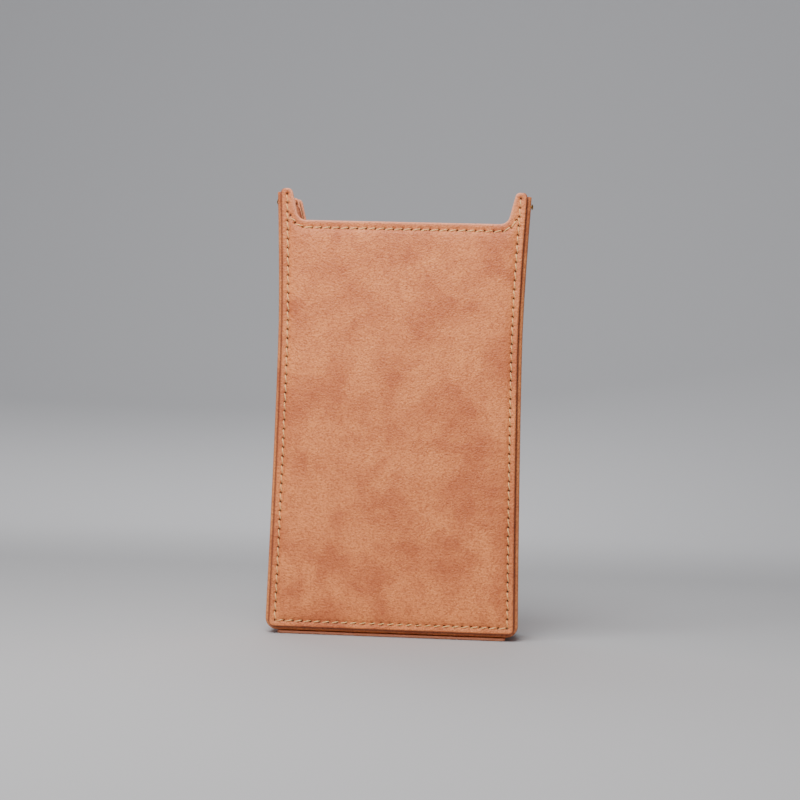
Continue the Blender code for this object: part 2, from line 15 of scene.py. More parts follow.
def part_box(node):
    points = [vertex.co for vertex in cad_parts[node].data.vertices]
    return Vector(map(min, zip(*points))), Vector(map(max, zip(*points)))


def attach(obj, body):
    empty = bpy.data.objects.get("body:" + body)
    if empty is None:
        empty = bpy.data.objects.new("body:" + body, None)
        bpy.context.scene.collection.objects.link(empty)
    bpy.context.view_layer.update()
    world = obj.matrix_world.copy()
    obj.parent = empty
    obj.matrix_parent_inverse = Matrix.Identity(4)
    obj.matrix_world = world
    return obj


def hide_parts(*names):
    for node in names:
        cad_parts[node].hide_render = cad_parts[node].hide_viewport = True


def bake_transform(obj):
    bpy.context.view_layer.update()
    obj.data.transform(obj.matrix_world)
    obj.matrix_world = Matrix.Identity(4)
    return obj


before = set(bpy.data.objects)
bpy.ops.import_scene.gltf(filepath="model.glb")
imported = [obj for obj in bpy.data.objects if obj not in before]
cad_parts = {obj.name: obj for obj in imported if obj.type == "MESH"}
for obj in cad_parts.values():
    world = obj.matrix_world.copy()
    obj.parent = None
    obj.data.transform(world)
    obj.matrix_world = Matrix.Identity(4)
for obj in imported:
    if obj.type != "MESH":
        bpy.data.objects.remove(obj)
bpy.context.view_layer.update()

MM = 0.001
BACK, FRONT = -1, 1  # the way a piece's show side faces along Y

# Stitching
PITCH = 3.86 * MM
STITCH_INSET = 2.6 * MM  # from the cut edge
SCOOP_INSET = 3.2 * MM  # from the scoop's edge
TIP_INSET = 2.4 * MM  # the first hole below a horn's tip
THREAD_RADIUS = 0.24 * MM
HOLE_RADIUS = 0.5 * MM
HOLE_DEPTH = 0.65 * MM
ROUND_HOLE = 15  # surface points in and just round a hole: its middle and two whole rings
GROOVE_DEPTH = 0.3 * MM
GROOVE_WIDTH = 0.8 * MM

# Leather
CROWN = 0.75 * MM  # the panel's middle stands this far above its stitch line
CROWN_RISE = 3.0 * MM
EDGE_ROUND = 0.5 * MM
DRIFT = 0.10 * MM  # slow unevenness of the surface
SURFACE_STEP = 1.0 * MM
LINING_STEP = 1.6 * MM
OUTLINE_STEP = 0.25 * MM
OUTLINE_ROUNDS = 3  # smoothings of a cut edge
PATH_STEP = 0.2 * MM
MERGE = 0.001 * MM  # points closer than this are one
SHARP = math.radians(50)
FLESH_ROUND = 0.7  # the flesh side's edge round, as a share of the show side's

# Gusset
GUSSET_THICK = 1.3 * MM
GUSSET_CORNER = 5.0 * MM
GUSSET_BEND = 2.0 * MM
FLANGE_ROOT = 4.2 * MM  # where the flange has left the bend, from the gusset's outside
FLANGE_CORNER = 1.0 * MM
GUSSET_STEP = 1.6 * MM
LINING_LOW, LINING_HIGH = 1.6 * MM, 2.2 * MM  # the gusset lining's two faces, from the gusset's outside
GUSSET_PULL = 0.22 * MM  # how far the web draws in at its middle
GUSSET_WAVE = 0.12 * MM
LIP_ROUND = 0.3 * MM
END_ROUND = 0.2 * MM

# Brass, in millimetres
TURNED_STEPS = 48
POST_FOOT = 0.9 + 1.3 + 0.3 + 1.3 + 0.3  # through the eyelet, the flange, a gap, the frame and a gap

# Floor, light and camera
FLOOR_STEPS, SWEEP_STEPS = 96, 24
FLOOR_RADIUS, SWEEP_CURVE = 0.95, 1.3
FLOOR_COLOUR = (0.44, 0.44, 0.455, 1.0)
WORLD_COLOUR, WORLD_STRENGTH = (0.86, 0.88, 0.92, 1.0), 0.40
SOFTBOXES = (  # name, place, target, size, watts, colour
    ("overhead", (-0.10, -0.30, 0.58), (0, -0.02, 0.14), 0.35, 3.6, (1.0, 0.985, 0.96)),
    ("high_front", (-0.10, -0.95, 0.72), (0, 0, 0.15), 0.5, 6.0, (1.0, 0.99, 0.97)),
    ("backdrop", (0, 0.7, 1.1), (0, 2.1, 0.7), 0.8, 12.0, (1.0, 1.0, 1.0)),
    ("back_fill", (-0.3, 1.0, 0.8), (0, 0, 0.10), 1.0, 7.0, (1.0, 0.99, 0.98)),
)
CAMERA_PLACE = (52.8 * MM, -776.7 * MM, 82.3 * MM)
CAMERA_YAW, CAMERA_PITCH, CAMERA_ROLL = (math.radians(angle) for angle in (3.9, 1.44, 1.75))
LENS, SENSOR_WIDTH = 80.0, 36.0


# ---------------------------------------------------------------- outlines


def section(node, y):
    """The closed outlines, as (x, z) arrays, where the plane at depth y cuts a CAD node, longest first."""
    bm = bmesh.new()
    bm.from_mesh(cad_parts[node].data)
    bmesh.ops.remove_doubles(bm, verts=bm.verts, dist=MERGE)
    parts = bm.verts[:] + bm.edges[:] + bm.faces[:]
    cut = bmesh.ops.bisect_plane(bm, geom=parts, plane_co=(0, y, 0), plane_no=(0, 1, 0))
    edges = {e for e in cut["geom_cut"] if isinstance(e, bmesh.types.BMEdge)}
    loops = []
    while edges:
        edge = edges.pop()
        start, vert = edge.verts
        loop = [start.co.copy(), vert.co.copy()]
        while vert != start:
            edge = next(e for e in vert.link_edges if e in edges)
            edges.remove(edge)
            vert = edge.other_vert(vert)
            loop.append(vert.co.copy())
        loops.append(np.array([(p.x, p.z) for p in loop[:-1]]))
    bm.free()
    loops = [from_lowest(loop if area(loop) > 0 else loop[::-1]) for loop in loops]
    return sorted(loops, key=area, reverse=True)


def from_lowest(loop):
    """The same outline, started at its lowest point, so that every run resamples it alike."""
    lowest = int(np.lexsort((loop[:, 0], loop[:, 1]))[0])
    return np.roll(loop, -lowest, axis=0)


def area(loop):
    """The signed area of a closed outline, above zero where it runs anticlockwise."""
    x, z = loop[:, 0], loop[:, 1]
    return float(np.sum(x * np.roll(z, -1) - np.roll(x, -1) * z)) / 2


def spaced(path, step, closed=False, least=2):
    """The same path with its points evenly spaced, about step apart, in at least so many steps."""
    points = np.vstack([path, path[:1]]) if closed else np.asarray(path)
    lengths = np.linalg.norm(np.diff(points, axis=0), axis=1)
    run = np.concatenate([[0.0], np.cumsum(lengths)])
    count = max(least, round(run[-1] / step))
    at = np.linspace(0, run[-1], count + 1)
    even = np.stack([np.interp(at, run, points[:, k]) for k in range(points.shape[1])], axis=1)
    return even[:-1] if closed else even


def softened(loop, rounds):
    """A closed outline with its small facets smoothed away."""
    for _ in range(rounds):
        loop = (np.roll(loop, 1, axis=0) + 2 * loop + np.roll(loop, -1, axis=0)) / 4
    return loop


def smooth_loop(loop):
    """A cut edge: evenly spaced and smoothed."""
    return softened(spaced(loop, OUTLINE_STEP, closed=True), OUTLINE_ROUNDS)


def inward(path, closed=True):
    """Unit normals to the left of a path, which is inwards on an anticlockwise outline."""
    if closed:
        along = np.roll(path, -1, axis=0) - np.roll(path, 1, axis=0)
    else:
        along = np.gradient(path, axis=0)
    along /= np.linalg.norm(along, axis=1)[:, None]
    return np.stack([-along[:, 1], along[:, 0]], axis=1)


def inside(points, loop):
    """Which points lie inside a closed outline."""
    x, z = points[:, 0], points[:, 1]
    found = np.zeros(len(points), bool)
    for (x0, z0), (x1, z1) in zip(loop, np.roll(loop, -1, axis=0)):
        if z0 == z1:
            continue
        crosses = (z0 > z) != (z1 > z)
        found ^= crosses & (x < x0 + (x1 - x0) * (z - z0) / (z1 - z0))
    return found


class Near:
    """Distances from points to a set of (x, z) places."""

    def __init__(self, places):
        self.tree = kdtree.KDTree(len(places))
        for i, (x, z) in enumerate(places):
            self.tree.insert((x, 0, z), i)
        self.tree.balance()

    def distance(self, points):
        return np.array([self.tree.find((x, 0, z))[2] for x, z in points])


# ---------------------------------------------------------------- stitch lines


def split_at_tips(loop):
    """A horned outline cut at its horn tips: the border round the bottom, and the scoop across the top."""
    height = loop[:, 1] + 0.01 * np.abs(loop[:, 0])
    left = int(np.argmax(np.where(loop[:, 0] < 0, height, -1)))
    right = int(np.argmax(np.where(loop[:, 0] > 0, height, -1)))
    rolled = np.roll(loop, -left, axis=0)
    to_right = (right - left) % len(loop)
    border = rolled[: to_right + 1]
    scoop = np.vstack([rolled[to_right:], rolled[:1]])
    return border, scoop[::-1]


def border_path(loop):
    """The stitch line inside the sides and the bottom, from horn to horn."""
    border, _ = split_at_tips(loop)
    line = border + inward(border, closed=False) * STITCH_INSET
    clear = Near(border).distance(line) > STITCH_INSET - 0.02 * MM
    top = loop[:, 1].max() - TIP_INSET
    return spaced(line[clear & (line[:, 1] < top)], PATH_STEP)


def runs(border):
    """The border's line in straight runs, so that a hole falls in each bottom corner."""
    left = int(np.argmin(border[:, 0] + border[:, 1]))
    right = int(np.argmax(border[:, 0] - border[:, 1]))
    parts = (border[: left + 1], border[left : right + 1], border[right:])
    return [part for part in parts if len(part) > 20]


def scoop_path(loop, border):
    """The stitch line under the scoop, which curves up and runs into the border's line in each horn."""
    _, scoop = split_at_tips(loop)
    line = scoop - inward(scoop, closed=False) * SCOOP_INSET
    own = Near(scoop).distance(line) > SCOOP_INSET - 0.02 * MM
    apart = Near(border).distance(line) > 1.1 * MM
    inner = inside(line, loop)
    return spaced(line[own & apart & inner], PATH_STEP)


def holes_of(path):
    """The awl holes along a stitch line, at the pitch that fits a whole number of stitches."""
    return spaced(path, PITCH, least=1)


# ---------------------------------------------------------------- flat leather


def ramp(value, low, high):
    """0 below low, 1 above high, and smooth between."""
    share = np.clip((value - low) / (high - low), 0, 1)
    return share * share * (3 - 2 * share)


def rolled_edge(distance, radius=EDGE_ROUND):
    """How far a rounded edge falls away at a distance from the cut."""
    left = np.clip(radius - distance, 0, radius)
    return radius - np.sqrt(np.maximum(radius**2 - left**2, 0))


def drift(points, seed, size=22 * MM):
    """Slow unevenness over the surface, from -1 to 1."""
    return np.array([noise.noise(Vector((x / size, seed, z / size))) for x, z in points])


class Hide:
    """A flat piece's surface points: distance from the cut edge, from the stitch line and from the holes."""

    def __init__(self, loop, paths, step=SURFACE_STEP, holes=()):
        self.loop = smooth_loop(loop)
        self.edge = Near(spaced(self.loop, 0.1 * MM, closed=True))
        self.paths = paths
        self.stitches = [holes_of(path) for path in paths]
        self.openings = holes
        rim = spaced(self.loop, 0.8 * MM, closed=True)
        points = [rim]
        normals = inward(rim)
        self.rim_count = len(rim)
        for depth in (0.15 * MM, 0.4 * MM, 0.8 * MM):
            ring = rim + normals * depth
            keep = self.edge.distance(ring) > depth * 0.9
            points.append(ring[keep])
        grid = self.grid(step)
        if self.stitches:
            holes_at = np.vstack(self.stitches)
            grid = grid[Near(holes_at).distance(grid) > 1.0 * MM]
            for radius, count in ((0, 1), (0.6 * HOLE_RADIUS, 6), (1.2 * HOLE_RADIUS, 8), (0.8 * MM, 8)):
                turn = np.linspace(0, math.tau, count, endpoint=False)
                ring = np.stack([np.cos(turn), np.sin(turn)], axis=1) * radius
                points.append((holes_at[:, None, :] + ring[None]).reshape(-1, 2))
        points.append(grid)
        self.points, self.triangles = self.joined(points)

    def grid(self, step):
        low, high = self.loop.min(0), self.loop.max(0)
        rows = np.arange(low[1], high[1], step * math.sqrt(0.75))
        across = np.arange(low[0], high[0], step)
        grid = np.array([(x + step / 2 * (i % 2), z) for i, z in enumerate(rows) for x in across])
        grid = grid[inside(grid, self.loop)]
        return grid[self.edge.distance(grid) > 1.2 * MM]

    def joined(self, groups):
        """Triangles over all the points, inside the outline and outside any opening."""
        points = np.vstack(groups)
        keep = np.ones(len(points), bool)
        keep[self.rim_count :] = inside(points[self.rim_count :], self.loop)
        for opening in self.openings:
            keep[self.rim_count :] &= ~inside(points[self.rim_count :], opening)
        points = points[keep]
        edges = [(i, (i + 1) % self.rim_count) for i in range(self.rim_count)]
        for opening in self.openings:
            first = len(points)
            points = np.vstack([points, opening])
            edges += [(first + i, first + (i + 1) % len(opening)) for i in range(len(opening))]
        verts, _, faces, *_ = geometry.delaunay_2d_cdt(
            [Vector(p) for p in points], edges, [], 1, 1e-7
        )
        points = np.array([tuple(v) for v in verts])
        triangles = np.array(faces)
        centres = points[triangles].mean(axis=1)
        for opening in self.openings:
            triangles = triangles[~inside(centres, opening)]
            centres = points[triangles].mean(axis=1)
        return points, triangles


def stitched_relief(hide, crown=CROWN, seed=0.0, waves=DRIFT):
    """Height of the show side above its flat face: crown, drift, stitch groove, holes and rolled edge."""
    points = hide.points
    from_edge = hide.edge.distance(points)
    height = drift(points, seed) * waves * ramp(from_edge, 0, 8 * MM)
    height += drift(points, seed + 7, 7 * MM) * waves * 0.35
    height -= rolled_edge(from_edge)
    hole = np.zeros(len(points))
    if hide.stitches:
        past = np.clip(from_edge - STITCH_INSET, 0, None)
        height += crown * (1 - np.exp(-past / CROWN_RISE))
        line = Near(np.vstack(hide.paths)).distance(points)
        height -= GROOVE_DEPTH * np.exp(-((line / GROOVE_WIDTH) ** 2))
        to_hole = Near(np.vstack(hide.stitches)).distance(points)
        # The hole share dents the surface, and in the material it paints shade into the awl holes.
        hole = np.exp(-((to_hole / HOLE_RADIUS) ** 2))
        height -= HOLE_DEPTH * hole
    else:
        height += crown * ramp(from_edge, 0, 12 * MM)
    border, scoop = hide.loop, hide.loop
    if np.ptp(hide.loop[:, 1]) > 150 * MM:
        border, scoop = split_at_tips(hide.loop)
    # The pale share: a painted highlight along the scoop's rounded edge, where the light from above catches
    # it.
    pale = np.exp(-((Near(scoop).distance(points) / (0.75 * MM)) ** 2))
    # The border's dark line: the burnished cut edge, and painted shade of the gap between the panel and the
    # gusset.
    burnish_and_gap_shade = np.exp(-((Near(border).distance(points) / (0.45 * MM)) ** 2))
    return height, {"edge": pale, "burnish_and_shade": burnish_and_gap_shade * (1 - 0.6 * pale), "hole": np.clip(hole * 1.25, 0, 1)}


def on_plane(node, facing):
    """Puts flat points on a node's show side, and tells how thick the node is."""
    low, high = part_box(node)
    show = low.y if facing == BACK else high.y

    def at(points, height):
        return np.stack([points[:, 0], show + facing * height, points[:, 1]], axis=1)

    return at, high.y - low.y


def flat_piece(name, hide, place, thick, relief, attributes, material, body, slot, nodes, flip=False):
    """The closed mesh of a flat piece: the show side, the flesh side and the cut edge between them."""
    points, triangles = hide.points, hide.triangles
    count = len(points)
    flesh = rolled_edge(hide.edge.distance(points), EDGE_ROUND * FLESH_ROUND) - thick
    outer = place(points, relief)
    inner = place(points, np.minimum(flesh, relief - thick * 0.3))
    if flip:
        triangles = triangles[:, ::-1]
    sides = open_edges(triangles)
    faces = [tuple(t) for t in triangles.tolist()]
    faces += [(a + count, c + count, b + count) for a, b, c in triangles.tolist()]
    faces += [(b, a, a + count, b + count) for a, b in sides]
    mesh = bpy.data.meshes.new(name)
    mesh.from_pydata(np.vstack([outer, inner]).tolist(), [], faces)
    for key, values in attributes.items():
        layer = mesh.attributes.new(key, "FLOAT", "POINT")
        back = np.zeros(count) if key == "hole" else values
        layer.data.foreach_set("value", np.concatenate([values, back]).astype(np.float32))
    return placed(name, mesh, material, body, nodes)


def open_edges(triangles):
    """Edges that only one triangle has, in that triangle's direction."""
    edges = np.vstack([triangles[:, [0, 1]], triangles[:, [1, 2]], triangles[:, [2, 0]]])
    known = set(map(tuple, edges.tolist()))
    return [(a, b) for a, b in edges.tolist() if (b, a) not in known]


def placed(name, mesh, material, body, nodes):
    """Finishes a piece: material, smooth shading, the body it rides on and the CAD nodes it replaces."""
    mesh.name = name
    mesh.materials.clear()
    mesh.materials.append(material)
    mesh.shade_smooth()
    mesh.set_sharp_from_angle(angle=SHARP)
    piece = bpy.data.objects.new(name, mesh)
    bpy.context.scene.collection.objects.link(piece)
    if body:
        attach(piece, body)
    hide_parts(*nodes)
    return piece


def mesh_of(bm, name):
    """The finished mesh of a bmesh, which is then freed."""
    bmesh.ops.recalc_face_normals(bm, faces=bm.faces)
    mesh = bpy.data.meshes.new(name)
    bm.to_mesh(mesh)
    bm.free()
    return mesh


def turned(profile, steps, merge):
    """A profile of (radius, height) turned about the Z axis."""
    bm = bmesh.new()
    verts = [bm.verts.new((r, 0, h)) for r, h in profile]
    edges = [bm.edges.new(pair) for pair in zip(verts, verts[1:])]
    bmesh.ops.spin(bm, geom=verts + edges, cent=(0, 0, 0), axis=(0, 0, 1), angle=math.tau, steps=steps)
    bmesh.ops.remove_doubles(bm, verts=bm.verts, dist=merge)
    return bm


# ---------------------------------------------------------------- stitches


def stitch_tree():
    """Geometry Nodes: one bowed, slanted stitch on every pitch along a path, realised as one mesh."""
    tree = bpy.data.node_groups.new("Stitch row", "GeometryNodeTree")
    face = tree.interface
    face.new_socket(name="Geometry", in_out="INPUT", socket_type="NodeSocketGeometry")
    for name, kind, value in (
        ("Pitch", "NodeSocketFloat", PITCH),
        ("Thread Radius", "NodeSocketFloat", THREAD_RADIUS),
        ("Rise", "NodeSocketFloat", 0.40 * MM),
        ("Sink", "NodeSocketFloat", 0.45 * MM),
        ("Slant", "NodeSocketFloat", math.radians(14)),
        ("Outward", "NodeSocketVector", (0, -1, 0)),
        ("Material", "NodeSocketMaterial", None),
    ):
        socket = face.new_socket(name=name, in_out="INPUT", socket_type=kind)
        if value is not None:
            socket.default_value = value
    face.new_socket(name="Geometry", in_out="OUTPUT", socket_type="NodeSocketGeometry")
    nodes, links = tree.nodes, tree.links
    given = nodes.new("NodeGroupInput").outputs
    result = nodes.new("NodeGroupOutput")

    def maths(operation, a, b):
        node = nodes.new("ShaderNodeMath")
        node.operation = operation
        for socket, value in zip(node.inputs, (a, b)):
            if isinstance(value, (int, float)):
                socket.default_value = value
            else:
                links.new(value, socket)
        return node.outputs[0]

    def point(z, x=None):
        node = nodes.new("ShaderNodeCombineXYZ")
        links.new(z, node.inputs[2])
        if x is not None:
            links.new(x, node.inputs[0])
        return node.outputs[0]

    reach = maths("MULTIPLY", given["Pitch"], 0.46)
    sunk = maths("MULTIPLY", given["Sink"], -1)
    bow = nodes.new("GeometryNodeCurveQuadraticBezier")
    bow.inputs["Resolution"].default_value = 7
    links.new(point(sunk, maths("MULTIPLY", reach, -1)), bow.inputs["Start"])
    links.new(point(maths("MULTIPLY", given["Rise"], 2.6)), bow.inputs["Middle"])
    links.new(point(sunk, reach), bow.inputs["End"])
    ring = nodes.new("GeometryNodeCurvePrimitiveCircle")
    ring.inputs["Resolution"].default_value = 7
    links.new(given["Thread Radius"], ring.inputs["Radius"])
    tube = nodes.new("GeometryNodeCurveToMesh")
    tube.inputs["Fill Caps"].default_value = True
    links.new(bow.outputs[0], tube.inputs["Curve"])
    links.new(ring.outputs[0], tube.inputs["Profile Curve"])
    turn = nodes.new("GeometryNodeTransform")
    links.new(tube.outputs[0], turn.inputs["Geometry"])
    links.new(point(given["Slant"]), turn.inputs["Rotation"])

    path = nodes.new("GeometryNodeMeshToCurve")
    links.new(given["Geometry"], path.inputs["Mesh"])
    even = nodes.new("GeometryNodeResampleCurve")
    even.mode = "LENGTH"
    links.new(path.outputs[0], even.inputs["Curve"])
    links.new(given["Pitch"], even.inputs["Length"])
    facing = nodes.new("FunctionNodeAxesToRotation")
    facing.primary_axis = "Z"
    facing.secondary_axis = "X"
    tangent = nodes.new("GeometryNodeInputTangent")
    links.new(given["Outward"], facing.inputs["Primary Axis"])
    links.new(tangent.outputs[0], facing.inputs["Secondary Axis"])
    copies = nodes.new("GeometryNodeInstanceOnPoints")
    links.new(even.outputs[0], copies.inputs["Points"])
    links.new(turn.outputs[0], copies.inputs["Instance"])
    links.new(facing.outputs[0], copies.inputs["Rotation"])
    real = nodes.new("GeometryNodeRealizeInstances")
    links.new(copies.outputs[0], real.inputs[0])
    shade = nodes.new("GeometryNodeSetShadeSmooth")
    links.new(real.outputs[0], shade.inputs[0])
    paint = nodes.new("GeometryNodeSetMaterial")
    links.new(shade.outputs[0], paint.inputs["Geometry"])
    links.new(given["Material"], paint.inputs["Material"])
    links.new(paint.outputs[0], result.inputs[0])
    return tree


def stitch_row(name, hide, relief, place, facing, body, nodes):
    """Lays a stitch between every two holes of each of a piece's stitch lines."""
    row = bpy.data.meshes.new(name)
    places, edges, pitches = [], [], []
    for line in hide.stitches:
        heights = thread_heights(hide, relief, line)
        middles = (line[1:] + line[:-1]) / 2
        first = len(places)
        places += place(middles, (heights[1:] + heights[:-1]) / 2).tolist()
        edges += [(first + i, first + i + 1) for i in range(len(middles) - 1)]
        pitches.append(np.linalg.norm(np.diff(line, axis=0), axis=1).mean())
    row.from_pydata(places, edges, [])
    holder = bpy.data.objects.new(name, row)
    bpy.context.scene.collection.objects.link(holder)
    modifier = holder.modifiers.new("Stitches", "NODES")
    modifier.node_group = STITCH_TREE
    settings = {"Pitch": float(np.mean(pitches)), "Outward": (0, facing, 0), "Material": THREAD}
    for item in STITCH_TREE.interface.items_tree:
        if item.in_out == "INPUT" and item.name in settings:
            modifier[item.identifier] = settings[item.name]
    graph = bpy.context.evaluated_depsgraph_get()
    mesh = bpy.data.meshes.new_from_object(holder.evaluated_get(graph))
    bpy.data.objects.remove(holder)
    placed(name, mesh, THREAD, body, nodes)


def thread_heights(hide, relief, line):
    """How high the thread lies at each hole: level with the leather just round it."""
    tree = Near(hide.points).tree
    heights = [max(relief[found[1]] for found in tree.find_n((x, 0, z), ROUND_HOLE)) for x, z in line]
    return np.array(heights) - 0.08 * MM


# ---------------------------------------------------------------- materials


def tone(red, green, blue):
    """A linear colour from display values between 0 and 1."""
    display = (red, green, blue)
    return (*(((c + 0.055) / 1.055) ** 2.4 if c > 0.04045 else c / 12.92 for c in display), 1.0)


class Finish:
    """A node material under construction."""

    def __init__(self, name):
        self.material = bpy.data.materials.new(name)
        self.material.use_nodes = True
        self.tree = self.material.node_tree
        self.shader = self.tree.nodes["Principled BSDF"]
        self.place = self.new("ShaderNodeTexCoord").outputs["Object"]

    def new(self, kind, **settings):
        node = self.tree.nodes.new(kind)
        for key, value in settings.items():
            setattr(node, key, value)
        return node

    def link(self, out, socket):
        self.tree.links.new(out, socket)

    def moved(self, offset, stretch=(1, 1, 1)):
        node = self.new("ShaderNodeMapping")
        node.inputs["Location"].default_value = offset
        node.inputs["Scale"].default_value = stretch
        self.link(self.place, node.inputs["Vector"])
        return node.outputs[0]

    def cloud(self, place, scale, detail=2.0, roughness=0.5, distortion=0.0):
        node = self.new("ShaderNodeTexNoise")
        values = {"Scale": scale, "Detail": detail, "Roughness": roughness, "Distortion": distortion}
        for key, value in values.items():
            node.inputs[key].default_value = value
        self.link(place, node.inputs["Vector"])
        return node.outputs[0]

    def cells(self, place, scale, smoothness):
        node = self.new("ShaderNodeTexVoronoi", feature="SMOOTH_F1")
        node.inputs["Scale"].default_value = scale
        node.inputs["Smoothness"].default_value = smoothness
        self.link(place, node.inputs["Vector"])
        return node.outputs["Distance"]

    def attribute(self, name):
        return self.new("ShaderNodeAttribute", attribute_name=name).outputs["Fac"]

    def maths(self, operation, a, b):
        node = self.new("ShaderNodeMath", operation=operation)
        for socket, value in zip(node.inputs, (a, b)):
            if isinstance(value, (int, float)):
                socket.default_value = value
            else:
                self.link(value, socket)
        return node.outputs[0]

    def levels(self, value, low, high, out_low=0.0, out_high=1.0):
        node = self.new("ShaderNodeMapRange")
        ends = {"From Min": low, "From Max": high, "To Min": out_low, "To Max": out_high}
        for key, number in ends.items():
            node.inputs[key].default_value = number
        self.link(value, node.inputs["Value"])
        return node.outputs[0]

    def mix(self, share, a, b):
        node = self.new("ShaderNodeMix", data_type="RGBA")
        for socket, value in ((node.inputs[0], share), (node.inputs[6], a), (node.inputs[7], b)):
            if isinstance(value, (int, float, tuple)):
                socket.default_value = value
            else:
                self.link(value, socket)
        return node.outputs[2]

    def bump(self, height, strength, distance, below=None):
        node = self.new("ShaderNodeBump")
        node.inputs["Strength"].default_value = strength
        node.inputs["Distance"].default_value = distance
        self.link(height, node.inputs["Height"])
        if below:
            self.link(below, node.inputs["Normal"])
        return node.outputs[0]

    def done(self, colour=None, normal=None, roughness=None, **constants):
        if colour is not None:
            self.link(colour, self.shader.inputs["Base Color"])
        if normal is not None:
            self.link(normal, self.shader.inputs["Normal"])
        if roughness is not None:
            self.link(roughness, self.shader.inputs["Roughness"])
        for key, value in constants.items():
            self.shader.inputs[key.replace("_", " ")].default_value = value
        return self.material


def leather(name, light, middle, dark, deep, rim, offset, grain=1.0):
    """Vegetable tanned leather: cloudy patches, fine pebbled grain, a painted highlight on the scoop's edge,
    dark burnished edges with painted shade beside them, and painted shade in the awl holes.
    """
    f = Finish(name)
    place = f.moved(offset)
    broad = f.cloud(place, 46, 4.0, 0.6, 0.35)
    patches = f.cloud(place, 120, 5.0, 0.65, 0.3)
    speckle = f.cloud(place, 1000, 3.0, 0.75)
    shade = f.mix(f.levels(broad, 0.40, 0.58), dark, light)
    shade = f.mix(f.levels(patches, 0.42, 0.60, 0.0, 0.5), shade, middle)
    shade = f.mix(f.levels(speckle, 0.47, 0.60, 0.0, 0.5), shade, deep)
    # Painted highlight on the scoop's rounded edge, in the rim colour.
    shade = f.mix(f.maths("MULTIPLY", f.attribute("edge"), 0.7), shade, rim)
    # Dark burnished edges, with painted shade in the gaps and creases beside them.
    shade = f.mix(f.maths("MULTIPLY", f.attribute("burnish_and_shade"), 0.8), shade, tone(0.45, 0.20, 0.13))
    # Painted shade in the awl holes.
    shade = f.mix(f.attribute("hole"), shade, tone(0.20, 0.08, 0.03))
    pebbles = f.cells(place, 1250, 0.4)
    wrinkles = f.cloud(f.moved(offset, (1.0, 1.0, 1.6)), 520, 3.0, 0.6, 1.2)
    pores = f.cloud(place, 2600, 2.0, 0.5)
    normal = f.bump(wrinkles, 0.6 * grain, 0.4 * MM)
    normal = f.bump(pebbles, 0.8 * grain, 0.22 * MM, normal)
    normal = f.bump(pores, 0.25 * grain, 0.06 * MM, normal)
    gloss = f.levels(patches, 0.3, 0.7, 0.42, 0.54)
    sheen = {"Sheen_Weight": 0.02, "Sheen_Roughness": 0.5}
    return f.done(shade, normal, gloss, Specular_IOR_Level=0.34, **sheen)


def suede(name, light, dark, offset):
    """Napped suede: soft brushed patches and short fibres."""
    f = Finish(name)
    place = f.moved(offset)
    brushed = f.cloud(place, 38, 5.0, 0.65, 0.2)
    nap = f.cloud(f.moved(offset, (1.0, 1.0, 0.5)), 1900, 3.0, 0.7)
    shade = f.mix(f.levels(brushed, 0.30, 0.72), dark, light)
    shade = f.mix(f.levels(nap, 0.40, 0.62, 0.0, 0.5), shade, dark)
    # Painted highlight along the lining's cut edge.
    shade = f.mix(f.maths("MULTIPLY", f.attribute("edge"), 0.5), shade, light)
    normal = f.bump(nap, 0.6, 0.2 * MM)
    sheen = {"Sheen_Weight": 0.10, "Sheen_Roughness": 0.6}
    return f.done(shade, normal, Roughness=0.95, Specular_IOR_Level=0.15, **sheen)


def felt(name, light, dark):
    """Dense wool felt: tangled fibres with small flecks."""
    f = Finish(name)
    tangle = f.cloud(f.moved((0, 0, 0)), 1400, 5.0, 0.75, 2.0)
    flecks = f.cloud(f.moved((0.3, 0, 0)), 420, 3.0, 0.6, 1.0)
    shade = f.mix(f.levels(tangle, 0.3, 0.7), dark, light)
    shade = f.mix(f.levels(flecks, 0.55, 0.7, 0.0, 0.4), shade, light)
    normal = f.bump(tangle, 0.8, 0.4 * MM)
    sheen = {"Sheen_Weight": 0.4, "Sheen_Roughness": 0.7}
    return f.done(shade, normal, Roughness=1.0, Specular_IOR_Level=0.15, **sheen)


def board(name, light, dark):
    """Pressed fibre board: short flat fibres."""
    f = Finish(name)
    fibres = f.cloud(f.moved((0, 0, 0), (1, 1, 5)), 700, 4.0, 0.7, 1.0)
    shade = f.mix(f.levels(fibres, 0.3, 0.7), dark, light)
    normal = f.bump(fibres, 0.4, 0.1 * MM)
    return f.done(shade, normal, Roughness=0.85, Specular_IOR_Level=0.3)


def thread(name, light, dark):
    """Waxed thread: twisted plies that catch the light."""
    f = Finish(name)
    plies = f.cloud(f.moved((0, 0, 0)), 1500, 2.0, 0.5)
    dirt = f.cloud(f.moved((0.1, 0, 0.2)), 130, 3.0, 0.6)
    shade = f.mix(f.levels(plies, 0.35, 0.65), dark, light)
    shade = f.mix(f.levels(dirt, 0.45, 0.75, 0.0, 0.5), shade, dark)
    normal = f.bump(plies, 0.5, 0.15 * MM)
    return f.done(shade, normal, Roughness=0.55, Specular_IOR_Level=0.4)


def brass(name, light, dark):
    """Aged brass: bright in patches, brown where it has tarnished."""
    f = Finish(name)
    tarnish = f.cloud(f.moved((0, 0, 0)), 420, 5.0, 0.7, 0.8)
    scratches = f.cloud(f.moved((0, 0, 0), (1, 1, 9)), 900, 3.0, 0.6)
    shade = f.mix(f.levels(tarnish, 0.42, 0.68), light, dark)
    rough = f.levels(tarnish, 0.35, 0.7, 0.26, 0.52)
    normal = f.bump(scratches, 0.12, 0.05 * MM)
    return f.done(shade, normal, rough, Metallic=1.0)


